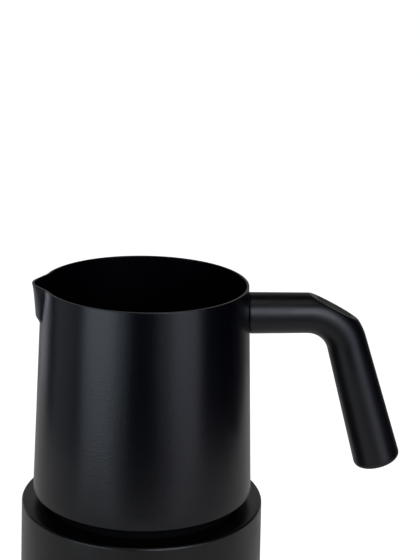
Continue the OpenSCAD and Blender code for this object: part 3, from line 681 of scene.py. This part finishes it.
# Name, azimuth in degrees; height, distance, width and tallness in metres; watts; colour. A narrow
# box over a wide one on each side gives the bands on the jug their soft edges.
SOFTBOXES = [
    ("key_left", -50.5, 0.16, 1.3, 0.8, 0.9, 2.5, (0.76, 0.87, 1.0)),
    ("key_left_wide", -47.5, 0.16, 1.3, 1.27, 0.9, 3.2, (0.76, 0.87, 1.0)),
    ("wall_left", -97, 0.1, 1.3, 0.8, 0.9, 0.85, (0.78, 0.84, 1.0)),
    ("side_left", -139, 0.1, 1.3, 0.45, 0.9, 0.75, (0.78, 0.80, 1.0)),
    ("fill_right", 39.5, 0.16, 1.3, 0.68, 0.9, 1.4, (0.82, 0.84, 1.0)),
    ("fill_right_wide", 34.5, 0.16, 1.3, 1.18, 0.9, 1.6, (0.82, 0.84, 1.0)),
    ("front_high", 20, 0.77, 1.3, 1.0, 0.8, 8.4, (0.84, 0.90, 1.0)),
    ("overhead", 0, 1.5, 0.3, 1.0, 0.6, 1.3, (1, 1, 1)),
]


def make_camera():
    """A long lens from above and a little to the left, turned 6 degrees right and rolled under 2."""
    turn = math.radians(6)
    pitch = math.radians(15.95)
    roll = math.radians(1.71)
    location = Vector((-38.8 * MM, -674.5 * MM, base_rim_z + 309.9 * MM))
    data = bpy.data.cameras.new("camera")
    data.sensor_width = 36
    data.lens = 90.8
    data.clip_start = 0.05
    data.clip_end = 100
    camera = new_object("camera", data)
    ahead = math.cos(pitch)
    forward = Vector((math.sin(turn) * ahead, math.cos(turn) * ahead, -math.sin(pitch)))
    level = Vector((math.cos(turn), -math.sin(turn), 0))
    upright = level.cross(forward)
    right = level * math.cos(roll) + upright * math.sin(roll)
    up = upright * math.cos(roll) - level * math.sin(roll)
    camera.matrix_world = Matrix((
        (right.x, up.x, -forward.x, location.x),
        (right.y, up.y, -forward.y, location.y),
        (right.z, up.z, -forward.z, location.z),
        (0, 0, 0, 1)))
    bpy.context.scene.camera = camera


def softbox(name, azimuth, height, distance, width, tall, power, tint):
    """A rectangular light aimed at the jug. Azimuth 0 is in front, positive to the right."""
    data = bpy.data.lights.new(name, "AREA")
    data.shape = "RECTANGLE"
    data.size = width
    data.size_y = tall
    data.energy = power
    data.color = tint
    light = new_object(name, data)
    a = math.radians(azimuth)
    light.location = (distance * math.sin(a), -distance * math.cos(a), height)
    aim = Vector((0, 0, JUG_MIDDLE_Z)) - light.location
    light.rotation_euler = aim.to_track_quat("-Z", "Y").to_euler()
    light.visible_camera = False


def make_world():
    """White behind the object and dark in front of it. The camera itself sees plain white."""
    world = bpy.data.worlds.new("studio")
    bpy.context.scene.world = world
    world.use_nodes = True
    tree = world.node_tree
    tree.nodes.clear()
    out = tree.nodes.new("ShaderNodeOutputWorld")
    where = tree.nodes.new("ShaderNodeTexCoord")
    split = tree.nodes.new("ShaderNodeSeparateXYZ")
    tree.links.new(where.outputs["Generated"], split.inputs["Vector"])
    ramp = tree.nodes.new("ShaderNodeMapRange")
    ramp.interpolation_type = "SMOOTHSTEP"
    dark_below, white_above = 0.45, 0.9
    surround_strength = 0.35
    ramp.inputs["From Min"].default_value = dark_below
    ramp.inputs["From Max"].default_value = white_above
    ramp.inputs["To Min"].default_value = 0.0
    ramp.inputs["To Max"].default_value = surround_strength
    tree.links.new(split.outputs["Y"], ramp.inputs["Value"])
    surround = tree.nodes.new("ShaderNodeBackground")
    tree.links.new(ramp.outputs["Result"], surround.inputs["Strength"])
    plain = tree.nodes.new("ShaderNodeBackground")
    plain.inputs["Strength"].default_value = 2.0
    path = tree.nodes.new("ShaderNodeLightPath")
    mix = tree.nodes.new("ShaderNodeMixShader")
    tree.links.new(path.outputs["Is Camera Ray"], mix.inputs["Fac"])
    tree.links.new(surround.outputs["Background"], mix.inputs[1])
    tree.links.new(plain.outputs["Background"], mix.inputs[2])
    tree.links.new(mix.outputs["Shader"], out.inputs["Surface"])


def sheet(name, x, near, far, z, paper, glow):
    """A level white sheet, lit a little from within so that it photographs as plain white."""
    mesh = bpy.data.meshes.new(name)
    mesh.from_pydata([(-x, near, z), (x, near, z), (x, far, z), (-x, far, z)], [], [(0, 1, 2, 3)])
    sheet_object = new_object(name, mesh)
    material = bpy.data.materials.new(name)
    material.use_nodes = True
    shader = material.node_tree.nodes["Principled BSDF"]
    shader.inputs["Base Color"].default_value = (paper, paper, paper, 1)
    shader.inputs["Roughness"].default_value = 0.9
    shader.inputs["Specular IOR Level"].default_value = 0.0
    shader.inputs["Emission Color"].default_value = (1, 1, 1, 1)
    shader.inputs["Emission Strength"].default_value = glow
    mesh.materials.append(material)
    return sheet_object


def make_studio():
    make_camera()
    make_world()
    for row in SOFTBOXES:
        softbox(*row)

    # The floor lies just under the foot ring, so that the two don't show through each other
    floor = sheet("floor", x=15, near=-15, far=15, z=-0.05 * MM, paper=0.6, glow=1.0)
    floor.visible_glossy = False

    # What the jug and the base mirror in place of the floor: a table that ends a little way off
    table = sheet("table_reflection", x=0.33, near=-0.3, far=0.35, z=0.4 * MM, paper=0, glow=0.38)
    table.visible_camera = False
    table.visible_shadow = False
    table.visible_diffuse = False

    view = bpy.context.scene.view_settings
    view.view_transform = "Standard"
    view.look = "None"


make_studio()
pieces = [
    (make_jug(), "jug_coating"),
    (make_grip(), "handle_plastic"),
    (make_whisk_spring(), "spring_steel"),
]
dress_all(pieces)
